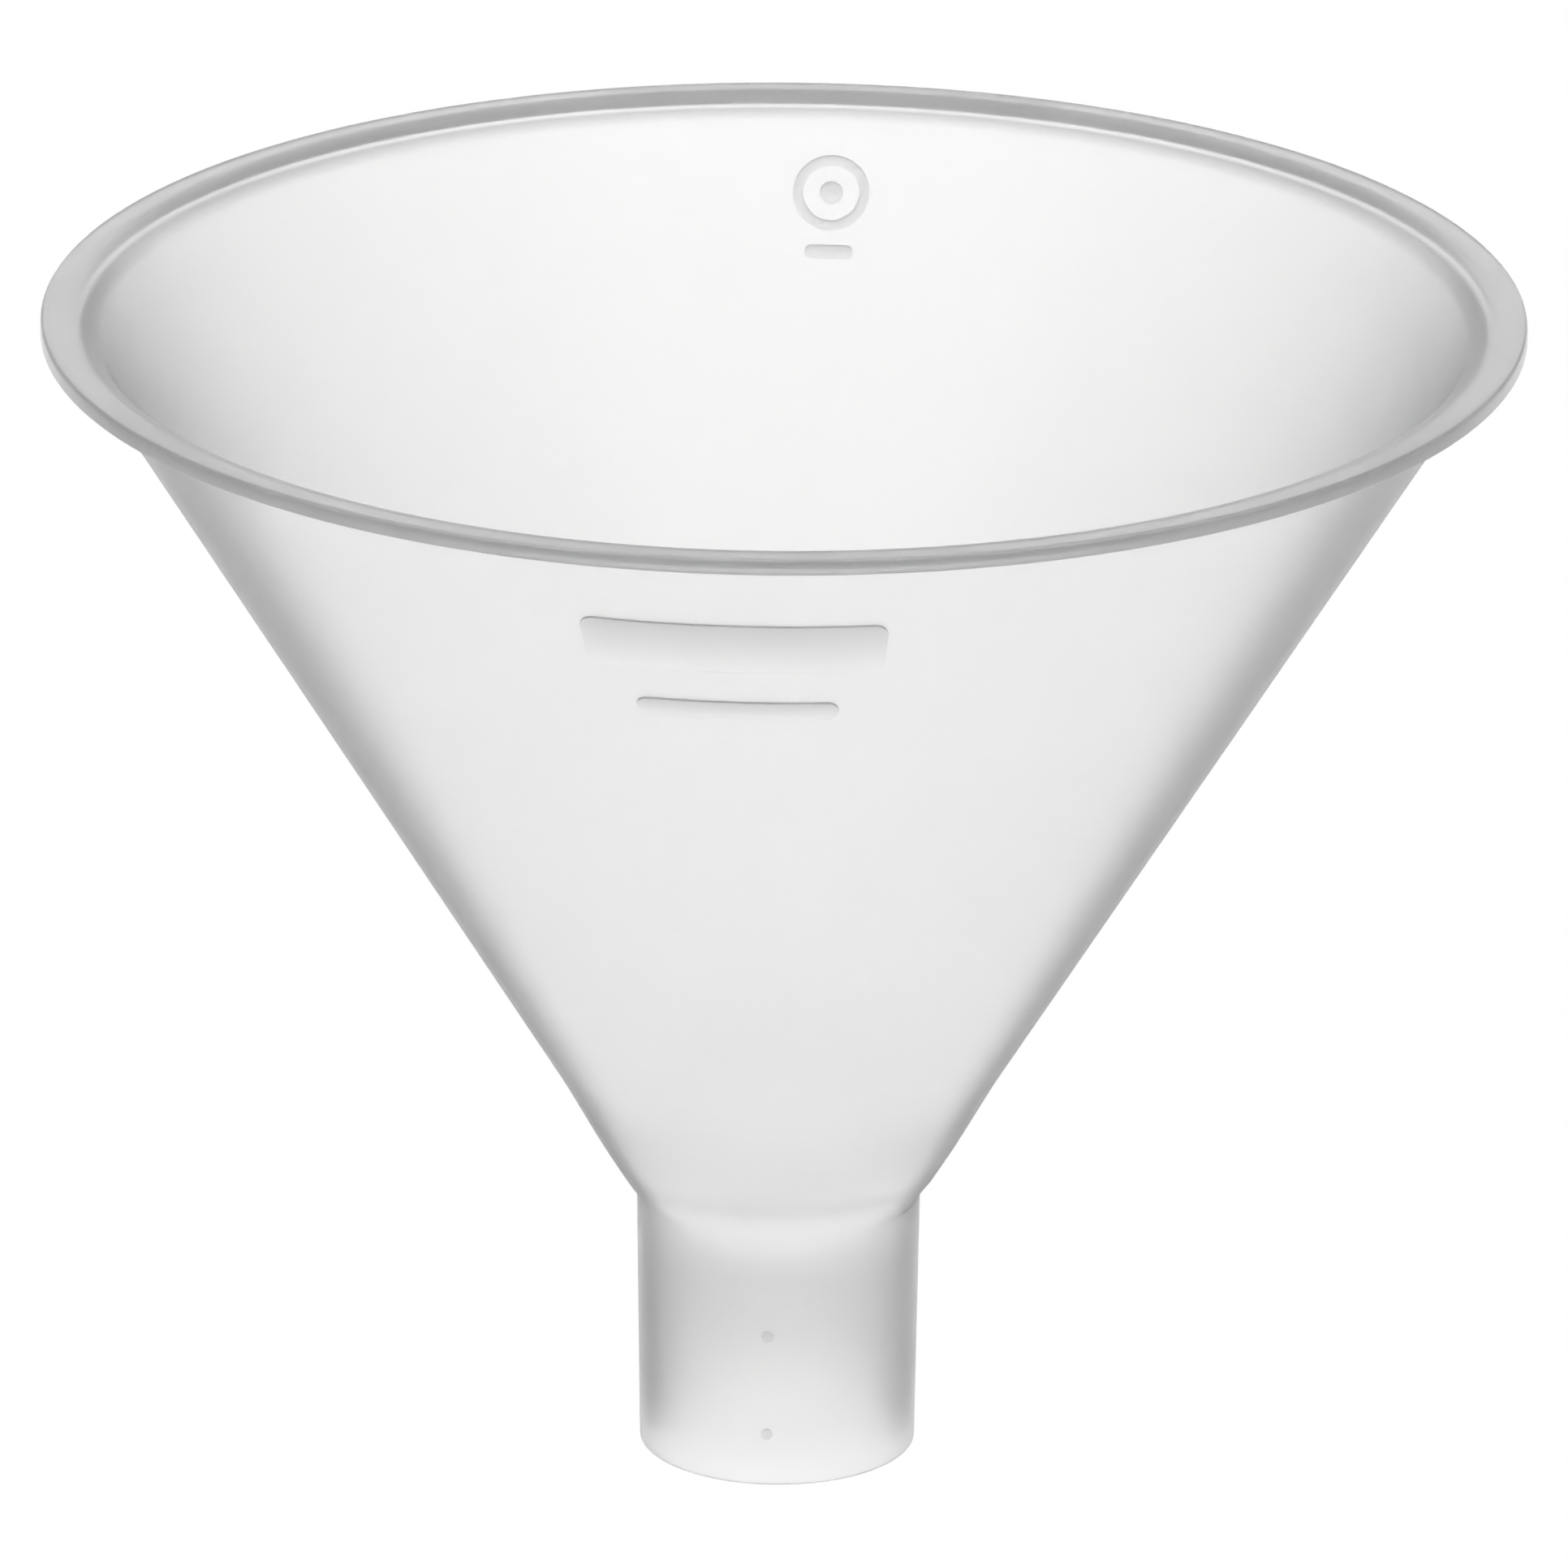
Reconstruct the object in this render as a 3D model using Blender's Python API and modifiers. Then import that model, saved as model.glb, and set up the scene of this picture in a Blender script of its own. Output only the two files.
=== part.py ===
"""Powder funnel: one injection-moulded polypropylene shell with a lipped rim, a plain cone and a wide stem.

Units are metres, +Z is up. The origin is on the funnel's axis at the stem's lower end.
The raised marks face -Y (front) and +Y (back).
"""

from math import cos, pi, radians, sin, tan

import bmesh
import bpy
from mathutils import Vector

# Driving dimensions
TOTAL_HEIGHT = 0.1223
RIM_RADIUS = 0.0750
RIM_LIP_THICKNESS = 0.00165
CONE_HALF_ANGLE = radians(31.45)
CONE_RADIUS_UNDER_LIP = 0.0714
CONE_WALL = 0.0018
STEM_TOP_RADIUS = 0.01455
STEM_END_RADIUS = 0.01415
STEM_SHOULDER_STEP = 0.0003
BORE_TOP_RADIUS = 0.0130
BORE_END_RADIUS = 0.0127
BORE_MOUTH_RADIUS = 0.0133
BORE_CHAMFER_HEIGHT = 0.0026

# Edge rounds
RIM_TOP_ROUND = 0.0004
RIM_LOWER_ROUND = 0.00015
UNDER_LIP_FILLET = 0.0008
MOUTH_ROUND = 0.0050
SHOULDER_ROUND = 0.00022
STEM_END_ROUND = 0.00025
THROAT_FILLET = 0.0030

# Raised marks: blank shapes with no lettering
MARK_RELIEF = 0.0002
MARK_ROOT = 0.0005
MARK_COLUMN = 0.0024
TABLET_SIZE = (0.0300, 0.0072)
TABLET_CORNER = 0.0015
TABLET_HEIGHT = 0.1093
BAR_SIZE = (0.0200, 0.0026)
BAR_CORNER = 0.0012
BAR_HEIGHT = 0.1011
RING_RADII = (0.0040, 0.0030)
RING_DOT_RADIUS = 0.0012
RING_HEIGHT = 0.1128
RING_BAR_SIZE = (0.0050, 0.0014)
RING_BAR_CORNER = 0.0006
RING_BAR_HEIGHT = 0.1074
PIP_RADIUS = 0.0006
PIP_HEIGHTS = (0.0165, 0.0057)
FRONT = -pi / 2
BACK = pi / 2

SEGMENTS = 96
MERGE_DISTANCE = 0.00001

SLOPE = tan(CONE_HALF_ANGLE)
LIP_UNDERSIDE = TOTAL_HEIGHT - RIM_LIP_THICKNESS


def cone_outer_radius(z):
    """Radius of the cone's outer surface at height z."""
    return CONE_RADIUS_UNDER_LIP + (z - LIP_UNDERSIDE) * SLOPE


def cone_outer_height(radius):
    """Height at which the cone's outer surface has this radius."""
    return LIP_UNDERSIDE + (radius - CONE_RADIUS_UNDER_LIP) / SLOPE


def cone_inner_height(radius):
    """Height at which the cone's inner surface has this radius."""
    return cone_outer_height(radius + CONE_WALL / cos(CONE_HALF_ANGLE))


def cone_inner_radius(z):
    """Radius of the cone's inner surface at height z."""
    return cone_outer_radius(z) - CONE_WALL / cos(CONE_HALF_ANGLE)


def rounded_corner(before, corner, after, radius, pieces):
    """Points of the arc of this radius that touches both sides of a corner."""
    to_before = (before - corner).normalized()
    to_after = (after - corner).normalized()
    half_angle = to_before.angle(to_after) / 2
    centre = corner + (to_before + to_after).normalized() * (radius / sin(half_angle))
    start = corner + to_before * (radius / tan(half_angle)) - centre
    end = corner + to_after * (radius / tan(half_angle)) - centre
    sweep = start.angle(end)
    points = []
    for step in range(pieces + 1):
        share = step / pieces
        blend = start * sin((1 - share) * sweep) + end * sin(share * sweep)
        points.append(centre + blend / sin(sweep))
    return points


def funnel_profile():
    """Closed outline of the wall: down the outer side, then up the inner side."""
    cone_end_radius = STEM_TOP_RADIUS - STEM_SHOULDER_STEP
    cone_end = cone_outer_height(cone_end_radius)
    # Each corner is (radius, height, round, pieces in the round).
    corners = [
        (RIM_RADIUS, TOTAL_HEIGHT, RIM_TOP_ROUND, 4),
        (RIM_RADIUS, LIP_UNDERSIDE, RIM_LOWER_ROUND, 2),
        (CONE_RADIUS_UNDER_LIP, LIP_UNDERSIDE, UNDER_LIP_FILLET, 3),
        (cone_end_radius, cone_end, 0, 0),
        (STEM_TOP_RADIUS, cone_end, SHOULDER_ROUND, 2),
        (STEM_END_RADIUS, 0, STEM_END_ROUND, 2),
        (BORE_MOUTH_RADIUS, 0, 0, 0),
        (BORE_END_RADIUS, BORE_CHAMFER_HEIGHT, 0, 0),
        (BORE_TOP_RADIUS, cone_inner_height(BORE_TOP_RADIUS), THROAT_FILLET, 4),
        (cone_inner_radius(TOTAL_HEIGHT), TOTAL_HEIGHT, MOUTH_ROUND, 7),
    ]
    places = [Vector((radius, height)) for radius, height, _, _ in corners]
    outline = []
    for index, (_, _, size, pieces) in enumerate(corners):
        corner = places[index]
        if size == 0:
            outline.append(corner)
            continue
        after = places[(index + 1) % len(places)]
        outline.extend(rounded_corner(places[index - 1], corner, after, size, pieces))
    return outline


def plastic_material():
    """Frosted natural polypropylene."""
    material = bpy.data.materials.new("natural_polypropylene")
    material.use_nodes = True
    shader = material.node_tree.nodes["Principled BSDF"]
    shader.inputs["Base Color"].default_value = (0.86, 0.86, 0.86, 1)
    shader.inputs["Roughness"].default_value = 0.4
    shader.inputs["Metallic"].default_value = 0
    shader.inputs["IOR"].default_value = 1.49
    shader.inputs["Transmission Weight"].default_value = 0.5
    return material


def new_collection(name):
    collection = bpy.data.collections.new(name)
    bpy.context.scene.collection.children.link(collection)
    return collection


def turned_body(name, outline, collection):
    """A closed outline turned once around the Z axis."""
    mesh = bpy.data.meshes.new(name)
    vertices = [(point.x, 0, point.y) for point in outline]
    edges = [(index, (index + 1) % len(outline)) for index in range(len(outline))]
    mesh.from_pydata(vertices, edges, [])
    body = bpy.data.objects.new(name, mesh)
    collection.objects.link(body)
    screw = body.modifiers.new("turn", "SCREW")
    screw.axis = "Z"
    screw.steps = SEGMENTS
    screw.render_steps = SEGMENTS
    screw.use_merge_vertices = True
    screw.merge_threshold = MERGE_DISTANCE
    screw.use_smooth_shade = True
    return body


def rounded_rectangle(size, corner, middle=(0, 0)):
    """Points of a rectangle with round corners."""
    pieces = 4
    points = []
    for quarter, (side_x, side_y) in enumerate([(1, 1), (-1, 1), (-1, -1), (1, -1)]):
        centre_x = middle[0] + side_x * (size[0] / 2 - corner)
        centre_y = middle[1] + side_y * (size[1] / 2 - corner)
        for step in range(pieces + 1):
            angle = (quarter + step / pieces) * pi / 2
            points.append((centre_x + corner * cos(angle), centre_y + corner * sin(angle)))
    return points


def circle(radius, pieces, middle=(0, 0)):
    """Points of a circle."""
    angles = [2 * pi * index / pieces for index in range(pieces)]
    return [(middle[0] + radius * cos(angle), middle[1] + radius * sin(angle)) for angle in angles]


def flat_plate(name, outlines):
    """A plate with these outlines (an outline inside another is a hole), from its root to its relief."""
    thickness = MARK_RELIEF + MARK_ROOT
    curve = bpy.data.curves.new(name, "CURVE")
    curve.dimensions = "2D"
    curve.fill_mode = "BOTH"
    curve.extrude = thickness / 2
    for outline in outlines:
        spline = curve.splines.new("POLY")
        spline.points.add(len(outline) - 1)
        for point, (x, y) in zip(spline.points, outline):
            point.co = (x, y, 0, 1)
        spline.use_cyclic_u = True
    source = bpy.data.objects.new(name, curve)
    bpy.context.scene.collection.objects.link(source)
    bpy.context.view_layer.update()
    mesh = bpy.data.meshes.new_from_object(source.evaluated_get(bpy.context.evaluated_depsgraph_get()))
    bpy.data.objects.remove(source)
    plate = bmesh.new()
    plate.from_mesh(mesh)
    bpy.data.meshes.remove(mesh)
    bmesh.ops.remove_doubles(plate, verts=plate.verts, dist=MERGE_DISTANCE)
    bmesh.ops.translate(plate, verts=plate.verts, vec=(0, 0, MARK_RELIEF - thickness / 2))
    return plate


def cut_into_columns(plate, width):
    """Cuts a plate across, so that it can bend around the funnel."""
    half_count = int(width / 2 / MARK_COLUMN)
    for index in range(-half_count, half_count + 1):
        bmesh.ops.bisect_plane(plate, geom=plate.verts[:] + plate.edges[:] + plate.faces[:],
                               plane_co=(index * MARK_COLUMN, 0, 0), plane_no=(1, 0, 0))


def wrap(plate, azimuth, height, radius, tilt):
    """Bends a flat plate around the axis at this height, leaning outwards by tilt."""
    for vertex in plate.verts:
        across, up, lift = vertex.co
        reach = radius + up * sin(tilt) + lift * cos(tilt)
        angle = azimuth + across / radius
        level = height + up * cos(tilt) - lift * sin(tilt)
        vertex.co = (reach * cos(angle), reach * sin(angle), level)


def raised_marks(collection):
    """All raised shapes as one mesh: front tablet and bar, back ring, dot and bar, and the stem's pips."""
    on_cone = [
        ([rounded_rectangle(TABLET_SIZE, TABLET_CORNER)], FRONT, TABLET_HEIGHT, TABLET_SIZE[0]),
        ([rounded_rectangle(BAR_SIZE, BAR_CORNER)], FRONT, BAR_HEIGHT, BAR_SIZE[0]),
        ([circle(RING_RADII[0], 28), circle(RING_RADII[1], 28)], BACK, RING_HEIGHT, 2 * RING_RADII[0]),
        ([circle(RING_DOT_RADIUS, 12)], BACK, RING_HEIGHT, 0),
        ([rounded_rectangle(RING_BAR_SIZE, RING_BAR_CORNER)], BACK, RING_BAR_HEIGHT, 0),
    ]
    whole = bmesh.new()
    for outlines, azimuth, height, width in on_cone:
        plate = flat_plate("mark", outlines)
        if width > 0:
            cut_into_columns(plate, width)
        wrap(plate, azimuth, height, cone_outer_radius(height), CONE_HALF_ANGLE)
        append(whole, plate)
    for height in PIP_HEIGHTS:
        plate = flat_plate("pip", [circle(PIP_RADIUS, 10)])
        draft = (STEM_TOP_RADIUS - STEM_END_RADIUS) / cone_outer_height(STEM_TOP_RADIUS)
        wrap(plate, FRONT, height, STEM_END_RADIUS + draft * height, 0)
        append(whole, plate)
    mesh = bpy.data.meshes.new("raised_marks")
    whole.to_mesh(mesh)
    whole.free()
    marks = bpy.data.objects.new("raised_marks", mesh)
    marks.hide_render = True
    marks.display_type = "WIRE"
    collection.objects.link(marks)
    return marks


def append(whole, plate):
    """Adds a plate to a larger mesh, with its faces pointing out."""
    bmesh.ops.recalc_face_normals(plate, faces=plate.faces)
    copy = bpy.data.meshes.new("copy")
    plate.to_mesh(copy)
    plate.free()
    whole.from_mesh(copy)
    bpy.data.meshes.remove(copy)


def main():
    for item in list(bpy.data.objects):
        bpy.data.objects.remove(item, do_unlink=True)
    parts = new_collection("powder_funnel")
    helpers = new_collection("helpers")
    body = turned_body("funnel_body", funnel_profile(), parts)
    body.data.materials.append(plastic_material())
    union = body.modifiers.new("raised_marks", "BOOLEAN")
    union.operation = "UNION"
    union.solver = "EXACT"
    union.object = raised_marks(helpers)
    return body


main()
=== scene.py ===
"""Looks of the powder funnel: a finely curved shell, frosted translucent plastic and a soft studio.

Units are metres, +Z is up. The origin is on the funnel's axis at the stem's lower end, and -Y is the front.
"""

from math import cos, pi, radians, sin, tan

import bmesh
import bpy
from mathutils import Matrix, Vector


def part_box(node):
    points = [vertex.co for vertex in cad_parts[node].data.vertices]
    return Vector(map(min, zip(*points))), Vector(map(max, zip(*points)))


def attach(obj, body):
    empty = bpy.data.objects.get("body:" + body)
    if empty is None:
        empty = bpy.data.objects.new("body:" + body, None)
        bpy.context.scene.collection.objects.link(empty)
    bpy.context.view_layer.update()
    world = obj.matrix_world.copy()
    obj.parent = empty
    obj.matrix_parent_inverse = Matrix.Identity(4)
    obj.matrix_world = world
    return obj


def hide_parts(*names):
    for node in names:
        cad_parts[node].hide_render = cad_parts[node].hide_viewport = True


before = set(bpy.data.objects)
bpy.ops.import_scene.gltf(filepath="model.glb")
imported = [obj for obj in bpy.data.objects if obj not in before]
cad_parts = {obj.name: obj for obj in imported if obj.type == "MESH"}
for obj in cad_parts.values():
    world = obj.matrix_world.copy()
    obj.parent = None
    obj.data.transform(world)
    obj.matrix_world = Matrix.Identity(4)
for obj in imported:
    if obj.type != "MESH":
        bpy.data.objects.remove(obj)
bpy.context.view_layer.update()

# The frame's body and node, and the outside size from that node
BODY = "root"
NODE = "funnel_body"
_, node_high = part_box(NODE)
TOTAL_HEIGHT = node_high.z
RIM_RADIUS = node_high.x

# Wall
RIM_LIP_THICKNESS = 0.00165
CONE_HALF_ANGLE = radians(31.45)
CONE_RADIUS_UNDER_LIP = RIM_RADIUS - 0.0036
CONE_WALL = 0.0018
STEM_TOP_RADIUS = 0.01455
STEM_END_RADIUS = 0.01415
STEM_SHOULDER_STEP = 0.0003
BORE_TOP_RADIUS = 0.0130
BORE_END_RADIUS = 0.0127
BORE_MOUTH_RADIUS = 0.0133
BORE_CHAMFER_HEIGHT = 0.0026

# Edge rounds
RIM_TOP_ROUND = 0.0004
RIM_LOWER_ROUND = 0.00015
UNDER_LIP_FILLET = 0.0008
MOUTH_ROUND = 0.0050
SHOULDER_ROUND = 0.00022
STEM_END_ROUND = 0.00025
THROAT_FILLET = 0.0100
SMALL_ROUND = 0.0001
CHAMFER_ROUND = 0.0003

# Raised marks: blank shapes with no lettering
MARK_RELIEF = 0.0002
MARK_ROOT = 0.0005
MARK_EDGE_ROUND = 0.00008
# Painted shade on the raised marks: the face attribute that mixes grey into them, and its share on the
# front and on the back marks.
MARK_SHADE_MASK = "raised_mark"
FRONT_MARK_SHADE = 0.6
BACK_MARK_SHADE = 1
MARK_WINDOW = 0.0040
MARK_COLUMN = 0.0010
TABLET_SIZE = (0.0300, 0.0072)
TABLET_CORNER = 0.0015
TABLET_HEIGHT = 0.1093
BAR_SIZE = (0.0200, 0.0026)
BAR_CORNER = 0.0012
BAR_HEIGHT = 0.1011
RING_RADII = (0.0040, 0.0030)
RING_DOT_RADIUS = 0.0012
RING_HEIGHT = 0.1128
RING_BAR_SIZE = (0.0050, 0.0014)
RING_BAR_CORNER = 0.0006
RING_BAR_HEIGHT = 0.1074
PIP_RADIUS = 0.0006
PIP_HEIGHTS = (0.0165, 0.0057)
FRONT = -pi / 2
BACK = pi / 2

# The cone's lower end swells a little. The shoulder's ledge stands out on the +X side only,
# and the shading runs smoothly over it all round.
SWELL = 0.0004
SWELL_START = 0.0030
SWELL_FULL = 0.0050
SWELL_END = 0.0150
SHOULDER_FILL = 0.95
SHOULDER_FOCUS = 8
SHOULDER_BLEND = 0.0060

# Fineness of the surface
SEGMENTS = 288
LONGEST_STRIP = 0.0015
SHARP_EDGE = radians(35)
EDGE_PIECES = 3
CORNER_PIECES = 6
DOT_PIECES = 24
RING_PIECES = 48
MERGE_DISTANCE = 0.00001
SLIVER = 0.000003

SLOPE = tan(CONE_HALF_ANGLE)
LIP_UNDERSIDE = TOTAL_HEIGHT - RIM_LIP_THICKNESS


def cone_outer_radius(z):
    """Radius of the cone's outer surface at height z."""
    return CONE_RADIUS_UNDER_LIP + (z - LIP_UNDERSIDE) * SLOPE


def cone_outer_height(radius):
    """Height at which the cone's outer surface has this radius."""
    return LIP_UNDERSIDE + (radius - CONE_RADIUS_UNDER_LIP) / SLOPE


def cone_inner_height(radius):
    """Height at which the cone's inner surface has this radius."""
    return cone_outer_height(radius + CONE_WALL / cos(CONE_HALF_ANGLE))


def cone_inner_radius(z):
    """Radius of the cone's inner surface at height z."""
    return cone_outer_radius(z) - CONE_WALL / cos(CONE_HALF_ANGLE)


def stem_outer_radius(z):
    """Radius of the tapered stem's outer surface at height z."""
    draft = (STEM_TOP_RADIUS - STEM_END_RADIUS) / cone_outer_height(STEM_TOP_RADIUS)
    return STEM_END_RADIUS + draft * z


def rounded_corner(before, corner, after, radius, pieces):
    """Points of the arc of this radius that touches both sides of a corner."""
    to_before = (before - corner).normalized()
    to_after = (after - corner).normalized()
    half_angle = to_before.angle(to_after) / 2
    centre = corner + (to_before + to_after).normalized() * (radius / sin(half_angle))
    start = corner + to_before * (radius / tan(half_angle)) - centre
    end = corner + to_after * (radius / tan(half_angle)) - centre
    sweep = start.angle(end)
    points = []
    for step in range(pieces + 1):
        share = step / pieces
        blend = start * sin((1 - share) * sweep) + end * sin(share * sweep)
        points.append(centre + blend / sin(sweep))
    return points


def funnel_profile():
    """Closed outline of the wall: down the outer side, then up the inner side."""
    cone_end_radius = STEM_TOP_RADIUS - STEM_SHOULDER_STEP
    cone_end = cone_outer_height(cone_end_radius)
    # Each corner is (radius, height, round, pieces in the round).
    corners = [
        (RIM_RADIUS, TOTAL_HEIGHT, RIM_TOP_ROUND, 8),
        (RIM_RADIUS, LIP_UNDERSIDE, RIM_LOWER_ROUND, 4),
        (CONE_RADIUS_UNDER_LIP, LIP_UNDERSIDE, UNDER_LIP_FILLET, 8),
        (cone_end_radius, cone_end, SMALL_ROUND, 2),
        (STEM_TOP_RADIUS, cone_end, SHOULDER_ROUND, 5),
        (STEM_END_RADIUS, 0, STEM_END_ROUND, 5),
        (BORE_MOUTH_RADIUS, 0, SMALL_ROUND, 2),
        (BORE_END_RADIUS, BORE_CHAMFER_HEIGHT, CHAMFER_ROUND, 2),
        (BORE_TOP_RADIUS, cone_inner_height(BORE_TOP_RADIUS), THROAT_FILLET, 10),
        (cone_inner_radius(TOTAL_HEIGHT), TOTAL_HEIGHT, MOUTH_ROUND, 20),
    ]
    places = [Vector((radius, height)) for radius, height, _, _ in corners]
    outline = []
    for index, (_, _, size, pieces) in enumerate(corners):
        corner = places[index]
        after = places[(index + 1) % len(places)]
        outline.extend(rounded_corner(places[index - 1], corner, after, size, pieces))
    return outline


def divided(outline, longest):
    """The closed outline with its long sides divided."""
    points = []
    for index, point in enumerate(outline):
        after = outline[(index + 1) % len(outline)]
        pieces = max(1, round((after - point).length / longest))
        for step in range(pieces):
            points.append(point.lerp(after, step / pieces))
    return points


def turned_body(name, outline):
    """A closed outline turned once around the Z axis."""
    mesh = bpy.data.meshes.new(name)
    vertices = [(point.x, 0, point.y) for point in outline]
    edges = [(index, (index + 1) % len(outline)) for index in range(len(outline))]
    mesh.from_pydata(vertices, edges, [])
    body = bpy.data.objects.new(name, mesh)
    bpy.context.scene.collection.objects.link(body)
    screw = body.modifiers.new("turn", "SCREW")
    screw.axis = "Z"
    screw.steps = SEGMENTS
    screw.render_steps = SEGMENTS
    screw.use_merge_vertices = True
    screw.merge_threshold = MERGE_DISTANCE
    return body


def ease(value):
    """A smooth step from 0 to 1."""
    share = min(1, max(0, value))
    return share * share * (3 - 2 * share)


def swell_cone_end(mesh):
    """Swells the cone's lower end out to the stem, but for the side where the shoulder stands out."""
    inner = STEM_TOP_RADIUS - STEM_SHOULDER_STEP
    top = cone_outer_height(inner)
    for vertex in mesh.vertices:
        radius = Vector((vertex.co.x, vertex.co.y)).length
        rise = vertex.co.z - top
        on_cone = 0 <= rise < SWELL_END and radius > cone_outer_radius(vertex.co.z) - MERGE_DISTANCE
        on_ledge = abs(rise) < SHOULDER_ROUND and radius > inner
        if not (on_cone or on_ledge):
            continue
        hidden = 1 - max(0, vertex.co.x / radius) ** SHOULDER_FOCUS
        fill = SHOULDER_FILL * STEM_SHOULDER_STEP * hidden
        if on_ledge:
            drawn = STEM_TOP_RADIUS - (STEM_TOP_RADIUS - radius) * (1 - fill / STEM_SHOULDER_STEP)
        else:
            whole = SWELL * (1 - ease((rise - SWELL_FULL) / (SWELL_END - SWELL_FULL)))
            drawn = radius + fill + (whole - fill) * ease(rise / SWELL_START)
        vertex.co.x *= drawn / radius
        vertex.co.y *= drawn / radius


def soften_shoulder(mesh):
    """Blends the shading of the stem into the cone's, as light does inside cloudy plastic."""
    top = cone_outer_height(STEM_TOP_RADIUS - STEM_SHOULDER_STEP)
    softened = {}
    for vertex in mesh.vertices:
        out = Vector((vertex.co.x, vertex.co.y, 0))
        radius = out.length
        rise = vertex.co.z - top
        wall = max(STEM_END_RADIUS, cone_outer_radius(vertex.co.z))
        if abs(rise) > SHOULDER_BLEND or radius < wall - MERGE_DISTANCE:
            continue
        lean = CONE_HALF_ANGLE * ease((rise / SHOULDER_BLEND + 1) / 2)
        softened[vertex.index] = out / radius * cos(lean) - Vector((0, 0, sin(lean)))
    corners = zip(mesh.loops, mesh.corner_normals)
    normals = [softened.get(loop.vertex_index, corner.vector.copy()) for loop, corner in corners]
    mesh.normals_split_custom_set(normals)


def remove_slivers(mesh):
    """Takes out the edges of almost no length that a union leaves."""
    body = bmesh.new()
    body.from_mesh(mesh)
    bmesh.ops.dissolve_degenerate(body, dist=SLIVER, edges=body.edges)
    body.to_mesh(mesh)
    body.free()


def rounded_rectangle(size, corner, inset):
    """Points of a rectangle with round corners, drawn in by inset all round."""
    radius = corner - inset
    points = []
    for quarter, (side_x, side_y) in enumerate([(1, 1), (-1, 1), (-1, -1), (1, -1)]):
        centre_x = side_x * (size[0] / 2 - corner)
        centre_y = side_y * (size[1] / 2 - corner)
        for step in range(CORNER_PIECES + 1):
            angle = (quarter + step / CORNER_PIECES) * pi / 2
            points.append((centre_x + radius * cos(angle), centre_y + radius * sin(angle)))
    return points


def circle(radius, pieces):
    """Points of a circle."""
    angles = [2 * pi * index / pieces for index in range(pieces)]
    return [(radius * cos(angle), radius * sin(angle)) for angle in angles]


def soft_edge():
    """Inset and lift of a mark's side, from its root to its top, with a quarter-round edge."""
    steps = [(0, -MARK_ROOT)]
    for index in range(EDGE_PIECES + 1):
        angle = index / EDGE_PIECES * pi / 2
        inset = MARK_EDGE_ROUND * (1 - cos(angle))
        steps.append((inset, MARK_RELIEF - MARK_EDGE_ROUND * (1 - sin(angle))))
    return steps


def stack(loops, closed):
    """A body through these loops of points, joined last to first if closed and capped if not."""
    body = bmesh.new()
    rows = [[body.verts.new(point) for point in loop] for loop in loops]
    pairs = list(zip(rows, rows[1:]))
    if closed:
        pairs.append((rows[-1], rows[0]))
    else:
        body.faces.new(rows[0])
        body.faces.new(rows[-1])
    for lower, upper in pairs:
        for index in range(len(lower)):
            after = (index + 1) % len(lower)
            body.faces.new((lower[index], lower[after], upper[after], upper[index]))
    return body


def raised_to(points, lift):
    """Flat points at this lift."""
    return [(x, y, lift) for x, y in points]


def bar_plate(size, corner):
    """A flat bar or tablet with round corners."""
    loops = [raised_to(rounded_rectangle(size, corner, inset), lift) for inset, lift in soft_edge()]
    return stack(loops, False)


def disc_plate(radius):
    """A flat round dot."""
    loops = [raised_to(circle(radius - inset, DOT_PIECES), lift) for inset, lift in soft_edge()]
    return stack(loops, False)


def ring_plate(outer, inner):
    """A flat ring."""
    steps = soft_edge()
    loops = [raised_to(circle(outer - inset, RING_PIECES), lift) for inset, lift in steps]
    loops += [raised_to(circle(inner + inset, RING_PIECES), lift) for inset, lift in reversed(steps)]
    return stack(loops, True)


def cut_into_columns(plate, width):
    """Cuts a plate across, so that it can bend around the funnel."""
    half_count = int(width / 2 / MARK_COLUMN)
    for index in range(-half_count, half_count + 1):
        bmesh.ops.bisect_plane(plate, geom=plate.verts[:] + plate.edges[:] + plate.faces[:],
                               plane_co=(index * MARK_COLUMN, 0, 0), plane_no=(1, 0, 0))


def wrap(plate, azimuth, height, radius, tilt):
    """Bends a flat plate around the axis at this height, leaning outwards by tilt."""
    for vertex in plate.verts:
        across, up, lift = vertex.co
        reach = radius + up * sin(tilt) + lift * cos(tilt)
        angle = azimuth + across / radius
        level = height + up * cos(tilt) - lift * sin(tilt)
        vertex.co = (reach * cos(angle), reach * sin(angle), level)


def append(whole, plate):
    """Adds a plate to a larger mesh, with its faces pointing out."""
    bmesh.ops.recalc_face_normals(plate, faces=plate.faces)
    copy = bpy.data.meshes.new("copy")
    plate.to_mesh(copy)
    plate.free()
    whole.from_mesh(copy)
    bpy.data.meshes.remove(copy)


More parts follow.
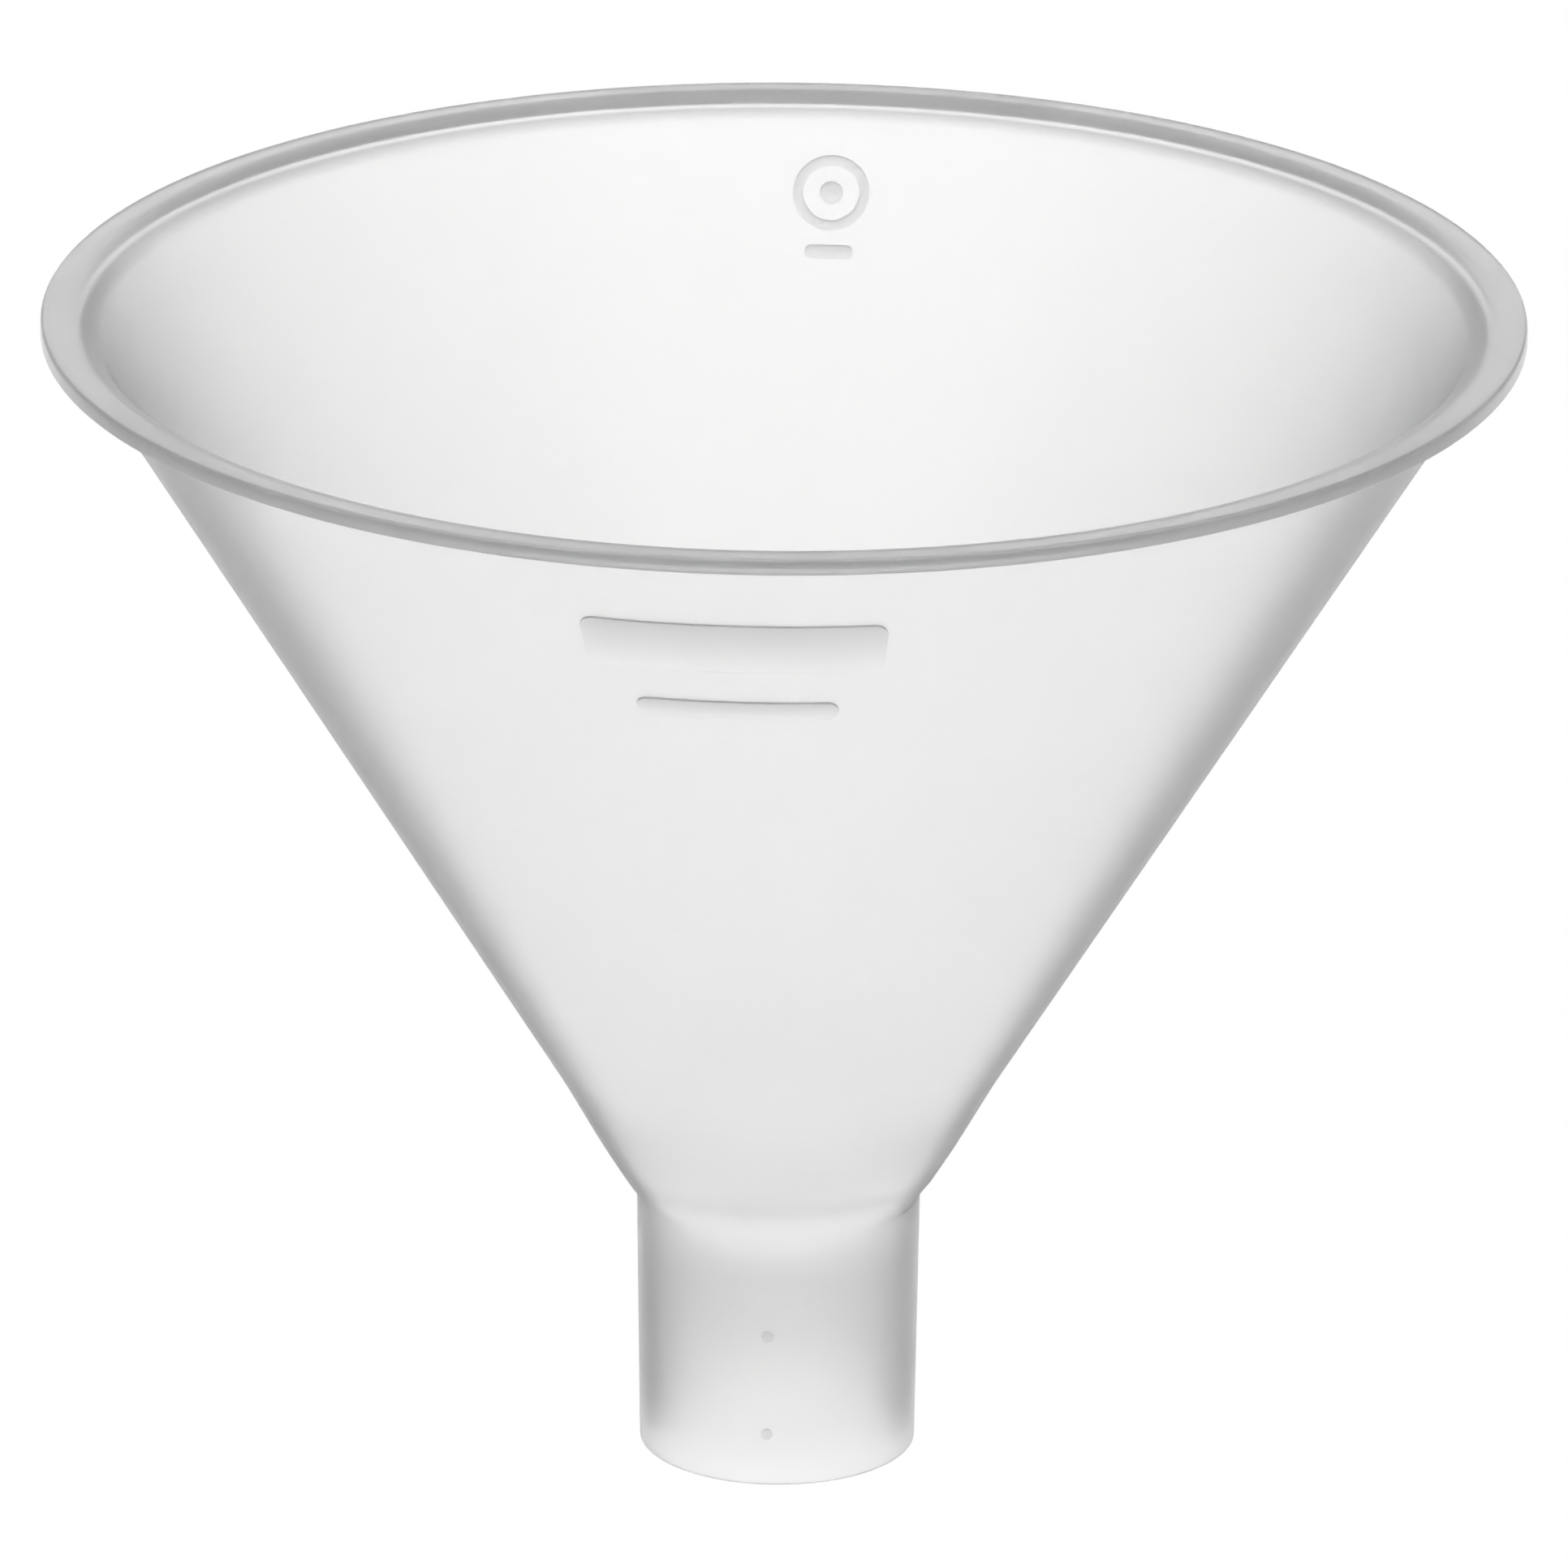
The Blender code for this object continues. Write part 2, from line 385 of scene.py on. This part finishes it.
def raised_marks():
    """All raised shapes as one mesh: front tablet and bar, back ring, dot and bar, and the stem's pips."""
    on_cone = [
        (bar_plate(TABLET_SIZE, TABLET_CORNER), FRONT, TABLET_HEIGHT, TABLET_SIZE[0]),
        (bar_plate(BAR_SIZE, BAR_CORNER), FRONT, BAR_HEIGHT, BAR_SIZE[0]),
        (ring_plate(*RING_RADII), BACK, RING_HEIGHT, 2 * RING_RADII[0]),
        (disc_plate(RING_DOT_RADIUS), BACK, RING_HEIGHT, 0),
        (bar_plate(RING_BAR_SIZE, RING_BAR_CORNER), BACK, RING_BAR_HEIGHT, RING_BAR_SIZE[0]),
    ]
    whole = bmesh.new()
    for plate, azimuth, height, width in on_cone:
        if width > 0:
            cut_into_columns(plate, width)
        wrap(plate, azimuth, height, cone_outer_radius(height), CONE_HALF_ANGLE)
        append(whole, plate)
    for height in PIP_HEIGHTS:
        plate = disc_plate(PIP_RADIUS)
        wrap(plate, FRONT, height, stem_outer_radius(height), 0)
        append(whole, plate)
    mesh = bpy.data.meshes.new("raised_marks")
    whole.to_mesh(mesh)
    whole.free()
    marks = bpy.data.objects.new("raised_marks", mesh)
    bpy.context.scene.collection.objects.link(marks)
    return marks


def find_marks(mesh):
    """Marks the raised faces, so that the material can paint shade onto them: a grey that stands in for the
    relief's shading, partly on the front marks and fully on the back marks.
    """
    raised = mesh.attributes.new(MARK_SHADE_MASK, "FLOAT", "FACE")
    for face in mesh.polygons:
        centre = face.center
        radius = Vector((centre.x, centre.y)).length
        if centre.z > cone_outer_height(STEM_TOP_RADIUS):
            lift = (radius - cone_outer_radius(centre.z)) * cos(CONE_HALF_ANGLE)
        else:
            lift = radius - stem_outer_radius(centre.z)
        near_front = abs(abs(centre.y) - radius) < MARK_WINDOW
        below_rim = centre.z < RING_HEIGHT + 2 * RING_RADII[0]
        if near_front and below_rim and lift > MARK_RELIEF / 2:
            raised.data[face.index].value = FRONT_MARK_SHADE if centre.y < 0 else BACK_MARK_SHADE


def moulded_shell():
    """The whole moulding as one closed mesh, smooth but for the marks' edges."""
    shell = turned_body("funnel_shell", divided(funnel_profile(), LONGEST_STRIP))
    marks = raised_marks()
    union = shell.modifiers.new("raised_marks", "BOOLEAN")
    union.operation = "UNION"
    union.solver = "EXACT"
    union.object = marks
    bpy.context.view_layer.update()
    evaluated = shell.evaluated_get(bpy.context.evaluated_depsgraph_get())
    joined = bpy.data.meshes.new_from_object(evaluated)
    shell.modifiers.clear()
    shell.data = joined
    bpy.data.objects.remove(marks)
    remove_slivers(joined)
    find_marks(joined)
    swell_cone_end(joined)
    joined.shade_smooth()
    joined.set_sharp_from_angle(angle=SHARP_EDGE)
    soften_shoulder(joined)
    return shell


# Frosted polypropylene
PLASTIC_COLOUR = (0.975, 0.974, 0.97, 1)
CLOUD_COLOUR = (0.99, 0.99, 0.988, 1)
CLOUD_SCALE = 45
CLOUD_DETAIL = 3
# Painted shade: the grey mixed into the raised marks' colour, standing in for the relief's shading.
MARK_SHADE_COLOUR = (0.6, 0.6, 0.6, 1)
ROUGHNESS_LOW = 0.27
ROUGHNESS_HIGH = 0.33
ROUGHNESS_SCALE = 160
ROUGHNESS_DETAIL = 4
REFRACTIVE_INDEX = 1.49
CLEAR_SHARE = 0.8
SCATTER_LENGTH = 0.002
HAZE_COLOUR = (0.5, 0.5, 0.5, 1)
HAZE_DENSITY = 35
FROST_SCALE = 1500
FROST_DETAIL = 2
FROST_STRENGTH = 0.12
FROST_DEPTH = 0.00002

# The Mix node's colour sockets, which share their names with its other sockets
MIX_FIRST = 6
MIX_SECOND = 7
MIX_RESULT = 2


def link(tree, source, target):
    """Joins two sockets."""
    tree.links.new(source, target)


def noise(tree, place, scale, detail):
    """Noise in the body's own coordinates."""
    node = tree.nodes.new("ShaderNodeTexNoise")
    node.inputs["Scale"].default_value = scale
    node.inputs["Detail"].default_value = detail
    link(tree, place.outputs["Object"], node.inputs["Vector"])
    return node.outputs["Fac"]


def colour_mix(tree, share, first, second):
    """A mix of two colours, each a socket or a value."""
    node = tree.nodes.new("ShaderNodeMix")
    node.data_type = "RGBA"
    link(tree, share, node.inputs["Factor"])
    for index, value in ((MIX_FIRST, first), (MIX_SECOND, second)):
        if isinstance(value, tuple):
            node.inputs[index].default_value = value
        else:
            link(tree, value, node.inputs[index])
    return node.outputs[MIX_RESULT]


def frosted_plastic():
    """Natural polypropylene as moulded: cloudy all through, with a fine matt texture from the mould, and
    painted shade on the raised marks.
    """
    material = bpy.data.materials.new("frosted_polypropylene")
    material.use_nodes = True
    tree = material.node_tree
    shader = tree.nodes["Principled BSDF"]
    shader.inputs["IOR"].default_value = REFRACTIVE_INDEX
    shader.inputs["Transmission Weight"].default_value = CLEAR_SHARE
    shader.inputs["Subsurface Weight"].default_value = 1
    shader.inputs["Subsurface Radius"].default_value = (1, 1, 1)
    shader.inputs["Subsurface Scale"].default_value = SCATTER_LENGTH
    place = tree.nodes.new("ShaderNodeTexCoord")

    clouds = noise(tree, place, CLOUD_SCALE, CLOUD_DETAIL)
    cloud = colour_mix(tree, clouds, PLASTIC_COLOUR, CLOUD_COLOUR)
    # Painted shade: the raised marks are mixed towards grey by their face attribute.
    raised = tree.nodes.new("ShaderNodeAttribute")
    raised.attribute_name = MARK_SHADE_MASK
    colour = colour_mix(tree, raised.outputs["Fac"], cloud, MARK_SHADE_COLOUR)
    link(tree, colour, shader.inputs["Base Color"])

    matt = tree.nodes.new("ShaderNodeMapRange")
    matt.inputs["To Min"].default_value = ROUGHNESS_LOW
    matt.inputs["To Max"].default_value = ROUGHNESS_HIGH
    link(tree, noise(tree, place, ROUGHNESS_SCALE, ROUGHNESS_DETAIL), matt.inputs["Value"])
    link(tree, matt.outputs["Result"], shader.inputs["Roughness"])

    frost = tree.nodes.new("ShaderNodeBump")
    frost.inputs["Strength"].default_value = FROST_STRENGTH
    frost.inputs["Distance"].default_value = FROST_DEPTH
    link(tree, noise(tree, place, FROST_SCALE, FROST_DETAIL), frost.inputs["Height"])
    link(tree, frost.outputs["Normal"], shader.inputs["Normal"])

    haze = tree.nodes.new("ShaderNodeVolumeAbsorption")
    haze.inputs["Color"].default_value = HAZE_COLOUR
    haze.inputs["Density"].default_value = HAZE_DENSITY
    link(tree, haze.outputs["Volume"], tree.nodes["Material Output"].inputs["Volume"])
    return material


# Studio: a plain white table and backdrop for the camera, and bands of light by direction for all
# other rays. Bands, rises and falls are sines of the elevation. Sides are cosines of the angle from
# straight behind or straight in front.
DISC_SIDES = 128
TABLE_RADIUS = 0.6
TABLE_DROP = 0.0002
TABLE_WHITE = 1.0
SHADE_RADIUS = 0.022
SHADE_WHITE = 1.1
BACKDROP_WHITE = 1.25
ROOM_LIGHT = 0.28
BELOW_LIGHT = 3.0
BELOW_HIDDEN = 0.6
BELOW_BAND = (-0.75, -0.6)
AROUND_LIGHT = 0.35
BEHIND_LIGHT = 1.4
BEHIND_SIDES = (0.5, 0.8)
LOW_RISE = (-0.6, -0.2)
LOW_FALL = (-0.05, 0.2)
EDGE_LIGHT = 1.5
EDGE_RISE = (0.22, 0.32)
EDGE_FALL = (0.45, 0.55)
FRONT_LIGHT = 1.1
FRONT_SIDES = (0.5, 0.8)
FRONT_RISE = (-0.1, 0.1)
FRONT_FALL = (0.6, 0.8)
TOP_LIGHT = 0.45
TOP_BAND = (0.75, 0.85)
LEAST_REACH = 0.001


def glowing_disc(name, radius, drop, strength):
    """A flat disc that glows evenly."""
    bpy.ops.mesh.primitive_circle_add(vertices=DISC_SIDES, radius=radius, fill_type="NGON",
                                      location=(0, 0, -drop))
    disc = bpy.context.object
    disc.name = name
    material = bpy.data.materials.new(name)
    material.use_nodes = True
    tree = material.node_tree
    glow = tree.nodes.new("ShaderNodeEmission")
    glow.inputs["Strength"].default_value = strength
    link(tree, glow.outputs["Emission"], tree.nodes["Material Output"].inputs["Surface"])
    disc.data.materials.append(material)
    return disc


def white_table():
    """A plain white table for the camera, and the shaded part under the stem for all other rays."""
    table = glowing_disc("table", TABLE_RADIUS, TABLE_DROP, TABLE_WHITE)
    table.visible_diffuse = False
    table.visible_glossy = False
    table.visible_transmission = False
    table.visible_shadow = False
    shade = glowing_disc("shaded_table", SHADE_RADIUS, 2 * TABLE_DROP, SHADE_WHITE)
    shade.visible_camera = False


def math_node(tree, operation, first, second):
    """A Math node on two values, each a socket or a number."""
    node = tree.nodes.new("ShaderNodeMath")
    node.operation = operation
    for socket, value in zip(node.inputs, (first, second)):
        if isinstance(value, (int, float)):
            socket.default_value = value
        else:
            link(tree, value, socket)
    return node.outputs["Value"]


def ramp(tree, value, band, rising):
    """A soft step over this band, up from 0 to 1 or down from 1 to 0."""
    node = tree.nodes.new("ShaderNodeMapRange")
    node.interpolation_type = "SMOOTHSTEP"
    node.inputs["From Min"].default_value = band[0]
    node.inputs["From Max"].default_value = band[1]
    node.inputs["To Min"].default_value = 0 if rising else 1
    node.inputs["To Max"].default_value = 1 if rising else 0
    link(tree, value, node.inputs["Value"])
    return node.outputs["Result"]


def soft_light(tree, strength, *shares):
    """A light of this strength where all the shares are 1."""
    value = shares[0]
    for share in shares[1:]:
        value = math_node(tree, "MULTIPLY", value, share)
    return math_node(tree, "MULTIPLY", value, strength)


def studio():
    """The room's light by direction; the camera itself sees a plain white backdrop."""
    world = bpy.data.worlds.new("studio")
    bpy.context.scene.world = world
    world.use_nodes = True
    tree = world.node_tree
    tree.nodes.clear()
    place = tree.nodes.new("ShaderNodeTexCoord")
    parts = tree.nodes.new("ShaderNodeSeparateXYZ")
    link(tree, place.outputs["Generated"], parts.inputs["Vector"])
    back = parts.outputs["Y"]
    up = parts.outputs["Z"]
    flat = math_node(tree, "SUBTRACT", 1.0, math_node(tree, "MULTIPLY", up, up))
    reach = math_node(tree, "MAXIMUM", math_node(tree, "POWER", flat, 0.5), LEAST_REACH)
    towards_back = math_node(tree, "DIVIDE", back, reach)
    towards_front = math_node(tree, "MULTIPLY", towards_back, -1.0)
    rays = tree.nodes.new("ShaderNodeLightPath")
    # Rays that pass through the plastic get less of the light from below.
    hidden = math_node(tree, "MULTIPLY", rays.outputs["Is Transmission Ray"], BELOW_HIDDEN)
    unseen = math_node(tree, "SUBTRACT", 1.0, hidden)
    lights = [
        soft_light(tree, BELOW_LIGHT, ramp(tree, up, BELOW_BAND, False), unseen),
        soft_light(tree, AROUND_LIGHT, ramp(tree, up, LOW_RISE, True), ramp(tree, up, LOW_FALL, False)),
        soft_light(tree, BEHIND_LIGHT, ramp(tree, towards_back, BEHIND_SIDES, True),
                   ramp(tree, up, LOW_RISE, True), ramp(tree, up, LOW_FALL, False)),
        soft_light(tree, EDGE_LIGHT, ramp(tree, towards_back, BEHIND_SIDES, True),
                   ramp(tree, up, EDGE_RISE, True), ramp(tree, up, EDGE_FALL, False)),
        soft_light(tree, FRONT_LIGHT, ramp(tree, towards_front, FRONT_SIDES, True),
                   ramp(tree, up, FRONT_RISE, True), ramp(tree, up, FRONT_FALL, False)),
        soft_light(tree, TOP_LIGHT, ramp(tree, up, TOP_BAND, True)),
    ]
    total = ROOM_LIGHT
    for light in lights:
        total = math_node(tree, "ADD", total, light)
    room = tree.nodes.new("ShaderNodeBackground")
    link(tree, total, room.inputs["Strength"])
    backdrop = tree.nodes.new("ShaderNodeBackground")
    backdrop.inputs["Strength"].default_value = BACKDROP_WHITE
    seen = tree.nodes.new("ShaderNodeMixShader")
    link(tree, rays.outputs["Is Camera Ray"], seen.inputs["Fac"])
    link(tree, room.outputs["Background"], seen.inputs[1])
    link(tree, backdrop.outputs["Background"], seen.inputs[2])
    out = tree.nodes.new("ShaderNodeOutputWorld")
    link(tree, seen.outputs["Shader"], out.inputs["Surface"])


# Camera: a long lens from the front, looking down by about 20 degrees
SENSOR_WIDTH = 36
LENS = 405.2
CAMERA_AZIMUTH = radians(4.2)
CAMERA_SIDE = 0.0003
CAMERA_REACH = 1.6868
CAMERA_HEIGHT = 0.6949
CAMERA_PITCH = radians(20.284)
CAMERA_ROLL = radians(0.37)
CLIP = (0.05, 60)


def camera():
    """The camera, turned by its azimuth, pitch and roll."""
    data = bpy.data.cameras.new("camera")
    item = bpy.data.objects.new("camera", data)
    bpy.context.scene.collection.objects.link(item)
    data.sensor_width = SENSOR_WIDTH
    data.lens = LENS
    data.clip_start, data.clip_end = CLIP
    turn = Matrix.Rotation(CAMERA_AZIMUTH, 4, "Z")
    place = turn @ Vector((CAMERA_SIDE, -CAMERA_REACH, CAMERA_HEIGHT))
    tilt = Matrix.Rotation(pi / 2 - CAMERA_PITCH, 4, "X")
    roll = Matrix.Rotation(CAMERA_ROLL, 4, "Z")
    item.matrix_world = Matrix.Translation(place) @ turn @ tilt @ roll
    bpy.context.scene.camera = item


shell = moulded_shell()
shell.data.materials.append(frosted_plastic())
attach(shell, BODY)
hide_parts(NODE)
white_table()
studio()
camera()
bpy.context.scene.view_settings.view_transform = "Standard"
bpy.context.scene.view_settings.look = "None"
